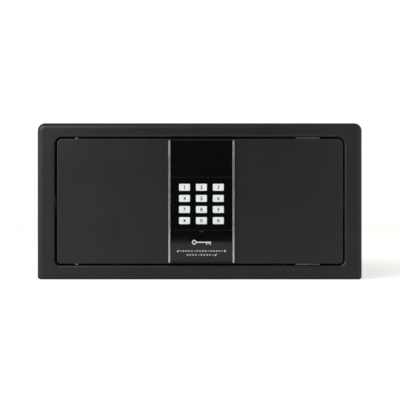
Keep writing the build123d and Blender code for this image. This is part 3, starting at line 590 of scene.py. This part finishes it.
MAT_CORNER = 12 * MM
MAT_HOLE = 11 * MM
MAT_HOLES = [(x * MM, y * MM) for x in (-130, 130) for y in (-60, 100)]
MAT_EDGE = 0.9 * MM                    # eased round the top
MAT_CELL = 9 * MM                      # spacing of the mesh that the waves bend
FELT_WAVE = 0.14 * MM
WAVE_RATES = ((22, 1.0), (60, 0.5))    # waves a metre, and their share
TOUCHING = 0.001 * MM
NEAR_TOP = 0.01 * MM


def mat_cutters(low, high):
    work = bmesh.new()
    for x, y in MAT_HOLES:
        made = bmesh.ops.create_cone(work, cap_ends=True, segments=40, radius1=MAT_HOLE,
                                     radius2=MAT_HOLE, depth=4 * (high.z - low.z))["verts"]
        bmesh.ops.translate(work, verts=made, vec=(x, y, (low.z + high.z) / 2))
    return work


def felt_mat():
    """Cut felt with eased edges. It lies flat but for the gentle waves that felt keeps."""
    low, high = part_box("floor_mat")
    middle = (low + high) / 2
    work = bmesh.new()
    made = bmesh.ops.create_cube(work, size=1.0)["verts"]
    bmesh.ops.scale(work, verts=made, vec=high - low)
    bmesh.ops.translate(work, verts=made, vec=middle)
    corners = [edge for edge in work.edges if abs(edge.verts[0].co.z - edge.verts[1].co.z) > MM]
    bmesh.ops.bevel(work, geom=corners, offset=MAT_CORNER, segments=8, profile=0.5,
                    affect="EDGES", material=-1)
    mesh = carved(work, mat_cutters(low, high), "felt_mat")
    work = bmesh.new()
    work.from_mesh(mesh)
    bpy.data.meshes.remove(mesh)
    rims = [edge for edge in work.edges if edge.is_manifold and edge.calc_face_angle() > 1
            and min(vert.co.z for vert in edge.verts) > high.z - NEAR_TOP]
    bmesh.ops.bevel(work, geom=rims, offset=MAT_EDGE, segments=3, profile=0.5,
                    affect="EDGES", material=-1)
    for axis, direction in enumerate((X_AXIS, Y_AXIS)):
        cuts = int((high[axis] - low[axis]) / MAT_CELL)
        for number in range(1, cuts):
            point = (low[axis] + (high[axis] - low[axis]) * number / cuts) * direction
            everything = work.verts[:] + work.edges[:] + work.faces[:]
            bmesh.ops.bisect_plane(work, geom=everything, dist=TOUCHING, plane_co=point,
                                   plane_no=direction)
    for vert in work.verts:
        if vert.co.z > middle.z:
            wave = sum(share * mathutils.noise.noise(vert.co * rate) for rate, share in WAVE_RATES)
            vert.co.z += FELT_WAVE * (min(wave, 1.0) - 1.0)
    bmesh.ops.recalc_face_normals(work, faces=work.faces)
    mat = settle(mesh_of(work, "felt_mat"), "felt_mat", FINISHES["felt"], "cabinet")
    smooth_by_angle(mat.data, degrees=50)
    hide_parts("floor_mat")


felt_mat()


# Screws of the inner cover: pan heads with a cross recess

PAN_HEAD = [(-1.5, 0.0), (-1.5, 1.45), (0.0, 1.45), (0.0, 2.35), (0.12, 2.5), (0.5, 2.5),
            (0.95, 2.3), (1.3, 1.85), (1.52, 1.1), (1.6, 0.0)]
RECESS_SLOT, RECESS_SPAN = 0.62, 2.7
RECESS_HEIGHT = 2.0                    # of the cutter, which stands out of the head
RECESS_MIDDLE = 1.75
RECESS_TAPER = 0.45
FIRST_TURN, NEXT_TURN = 25, 47         # degrees, so that no two screws stop alike


def cross_recess():
    work = bmesh.new()
    for width, height in ((RECESS_SLOT, RECESS_SPAN), (RECESS_SPAN, RECESS_SLOT)):
        made = bmesh.ops.create_cube(work, size=1.0)["verts"]
        bmesh.ops.scale(work, verts=made, vec=(width, RECESS_HEIGHT, height))
        bmesh.ops.translate(work, verts=made, vec=(0.0, RECESS_MIDDLE, 0.0))
        for vert in made:
            if vert.co.y < RECESS_MIDDLE:
                vert.co.x *= RECESS_TAPER
                vert.co.z *= RECESS_TAPER
    return work


def screw_heads():
    slot = SLOT_OF["cover_screws"]
    meshes = []
    for low, high in solids_of("cover_screws"):
        solid = turned(PAN_HEAD, steps=32, axis=Y_AXIS, across=X_AXIS)
        head = carved(solid, cross_recess(), "screw")
        middle = (low + high) / 2
        seat = Vector((middle.x, high.y - PAN_HEAD[-1][0] * MM, middle.z))
        turn = Matrix.Rotation(math.radians(FIRST_TURN + NEXT_TURN * len(meshes)), 4, "Y")
        head.transform(Matrix.Translation(seat) @ turn @ Matrix.Scale(MM, 4))
        meshes.append(head)
    mesh = joined(meshes, "inner_cover_screws")
    smooth_by_angle(mesh, degrees=35)
    screws = settle(mesh, "inner_cover_screws", FINISHES[slot], "door")
    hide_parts("cover_screws")


screw_heads()


# Dry cells: black film, copper-coloured film at the plus end, and steel ends

JACKET = [(0.25, 0.0), (0.25, 5.6), (0.0, 6.1), (0.1, 6.7), (0.7, 7.15), (36.5, 7.15),
          (36.5, 0.0)]
BAND = [(36.5, 0.0), (36.5, 7.15), (49.3, 7.15), (49.8, 6.8), (49.85, 6.0), (49.6, 5.6),
        (49.6, 0.0)]
PLUS_END = [(49.5, 0.0), (49.5, 5.5), (49.7, 5.3), (49.7, 3.1), (50.0, 2.7), (51.0, 2.6),
            (51.2, 2.3), (51.2, 0.0)]
MINUS_END = [(0.4, 0.0), (0.4, 5.4), (0.1, 5.2), (0.05, 4.4), (0.12, 0.0)]


def cells():
    """Cells lying side by side, each turned end for end from the one below."""
    looks = (("cell_jackets", [JACKET], FINISHES["battery_jacket"], "battery_jacket"),
             ("cell_bands", [BAND], CELL_BAND, "battery_jacket"),
             ("cell_ends", [PLUS_END, MINUS_END], FINISHES["bright_steel"], "bright_steel"))
    rows = sorted(solids_of("batteries"), key=lambda corners: corners[0].z)
    for name, profiles, material, slot in looks:
        meshes = []
        for number, (low, high) in enumerate(rows):
            to_right = number % 2 == 1
            middle = (low + high) / 2
            foot = Vector((low.x if to_right else high.x, middle.y, middle.z))
            turn = Matrix.Rotation(0.0 if to_right else math.pi, 4, "Z")
            for profile in profiles:
                solid = turned(profile, steps=40, axis=X_AXIS, across=Y_AXIS)
                mesh = mesh_of(solid, name)
                mesh.transform(Matrix.Translation(foot) @ turn @ Matrix.Scale(MM, 4))
                meshes.append(mesh)
        mesh = joined(meshes, name)
        smooth_by_angle(mesh, degrees=30)
        piece = settle(mesh, name, material, "door")
        if name == "cell_jackets":
            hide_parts("batteries")


cells()


# Stage

DOOR_FACE_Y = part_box("door_plate")[0].y
EYE_DISTANCE = 1.5
EYE_PLACE = (0.0004, DOOR_FACE_Y - EYE_DISTANCE, 0.099)
SENSOR_WIDTH, LENS = 36.0, 108.5       # mm
TABLE_FRONT = DOOR_FACE_Y - 0.89 * EYE_DISTANCE
TABLE_REACH = 3                        # to each side and to the back
TABLE_GLOW = 0.6
FLOOR_Z = -0.2 * MM                    # just under the safe, so that the two faces don't coincide
CARD_Y = DOOR_FACE_Y - EYE_DISTANCE - 0.2
# Left, right, bottom and top of the dark shapes that the front face reflects
DARK_CARDS = {"dark_card": (-0.25, 0.36, -0.6, 2.0), "dark_band": (-1.5, 1.5, 0.04, 0.17)}
KEY_PLACE, KEY_TARGET = (-1.5, -1.7, 1.5), (0.0, DOOR_FACE_Y, 0.1)
KEY_SIZE = (2.6, 2.2)
KEY_WATTS = 46.0
LIGHT_AROUND, LIGHT_OVERHEAD = 0.72, 0.3
OVERHEAD_FROM = 0.8                    # how far up, 1 being straight up, the overhead level starts
BACKDROP = 1.05                        # the world where it is seen directly


def stage_material(name, colour, roughness):
    """Matt finish of a stage piece: the material, its tree and its shader."""
    material, tree, shader = finish_of(name, colour, roughness, Specular_IOR_Level=0.0)
    uneven = ranged(tree, noise(tree, 60.0), roughness, roughness + 0.05)
    tree.links.new(uneven, shader.inputs["Roughness"])
    return material, tree, shader


def pale_table():
    """White table, lifted to an even white where it is seen directly."""
    material, tree, shader = stage_material("pale_table", "#f4efe8", 0.6)
    shader.inputs["Emission Color"].default_value = linear("#ffffff")
    seen = add(tree, "ShaderNodeLightPath").outputs["Is Camera Ray"]
    glow = add(tree, "ShaderNodeMath", {0: seen, 1: TABLE_GLOW}, operation="MULTIPLY")
    tree.links.new(glow.outputs["Value"], shader.inputs["Emission Strength"])
    return material


def flat_card(name, corners, material):
    work = bmesh.new()
    work.faces.new([work.verts.new(corner) for corner in corners])
    mesh = mesh_of(work, name)
    mesh.materials.append(material)
    card = placed(name, mesh)
    return card


def dark_cards():
    """Cards that only reflections show."""
    black = stage_material("card_black", "#161616", 0.9)[0]
    for name, (left, right, bottom, top) in DARK_CARDS.items():
        corners = [(left, CARD_Y, bottom), (left, CARD_Y, top), (right, CARD_Y, top),
                   (right, CARD_Y, bottom)]
        card = flat_card(name, corners, black)
        card.visible_camera = False
        card.visible_diffuse = False
        card.visible_shadow = False
        card.visible_transmission = False


def key_light():
    """Large soft light from the upper left, in front."""
    data = bpy.data.lights.new("key_softbox", "AREA")
    data.shape = "RECTANGLE"
    data.size, data.size_y = KEY_SIZE
    data.energy = KEY_WATTS
    light = placed("key_softbox", data)
    light.location = KEY_PLACE
    towards = Vector(KEY_TARGET) - Vector(KEY_PLACE)
    light.rotation_euler = towards.to_track_quat("-Z", "Y").to_euler()


def studio_world():
    """White light that is stronger round about than overhead, seen as an even backdrop."""
    world = bpy.data.worlds.new("studio")
    world.use_nodes = True
    bpy.context.scene.world = world
    tree = world.node_tree
    seen = add(tree, "ShaderNodeLightPath").outputs["Is Camera Ray"]
    where = add(tree, "ShaderNodeTexCoord").outputs["Generated"]
    upward = add(tree, "ShaderNodeSeparateXYZ", {"Vector": where}).outputs["Z"]
    fall = {"Value": upward, "From Max": OVERHEAD_FROM, "To Min": LIGHT_AROUND,
            "To Max": LIGHT_OVERHEAD}
    around = add(tree, "ShaderNodeMapRange", fall).outputs["Result"]
    choice = {"Value": seen, "To Min": around, "To Max": BACKDROP}
    level = add(tree, "ShaderNodeMapRange", choice).outputs["Result"]
    background = tree.nodes["Background"]
    background.inputs["Color"].default_value = linear("#ffffff")
    tree.links.new(level, background.inputs["Strength"])


def eye():
    """Camera level with the door, looking straight at it."""
    data = bpy.data.cameras.new("camera")
    data.sensor_width = SENSOR_WIDTH
    data.lens = LENS
    camera = placed("camera", data)
    camera.location = EYE_PLACE
    camera.rotation_euler = (math.radians(90), 0.0, 0.0)
    bpy.context.scene.camera = camera
    bpy.context.scene.view_settings.view_transform = "Standard"


flat_card("floor", [(-TABLE_REACH, TABLE_FRONT, FLOOR_Z), (TABLE_REACH, TABLE_FRONT, FLOOR_Z),
                    (TABLE_REACH, TABLE_REACH, FLOOR_Z), (-TABLE_REACH, TABLE_REACH, FLOOR_Z)],
          pale_table())
dark_cards()
key_light()
studio_world()
eye()
